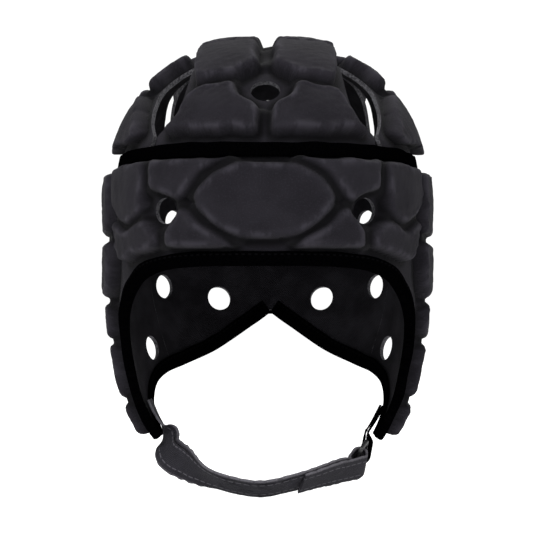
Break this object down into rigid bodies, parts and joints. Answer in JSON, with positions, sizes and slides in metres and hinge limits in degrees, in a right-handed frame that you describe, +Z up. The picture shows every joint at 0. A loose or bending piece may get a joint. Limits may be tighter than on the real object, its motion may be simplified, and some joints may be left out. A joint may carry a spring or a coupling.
{
  "type": "padded rugby scrum cap",
  "caption": "Padded head cap with moulded foam pads, round vents, leaf-shaped crown openings, bound edges, cheek tabs and a chin strap through a ring.",
  "frame": {"origin": "on the lining at the crown, where the top of the wearer's head bears", "axes": "+Z up, -Y the way the wearer faces, +X towards the wearer's left"},
  "size_m": [0.183, 0.2177, 0.2552],
  "materials": {
    "padded_fabric": "matte knitted polyester over foam",
    "binding": "matte black folded tape",
    "webbing": "woven webbing, fuzzy at its edges",
    "ring_plastic": "satin black plastic"
  },
  "bodies": {
    "root": {"crown_panel": "padded_fabric", "crown_side_panel_left": "padded_fabric", "crown_side_panel_right": "padded_fabric", "brow_panel": "padded_fabric", "side_panel_left": "padded_fabric", "side_panel_right": "padded_fabric", "back_panel_left": "padded_fabric", "back_panel_right": "padded_fabric", "crown_seam_tape": "binding", "face_binding": "binding", "nape_binding_left": "binding", "nape_binding_right": "binding", "nape_tie": "binding", "chin_strap": "webbing", "ring_tab": "binding", "strap_ring": "ring_plastic"}
  },
  "joints": []
}
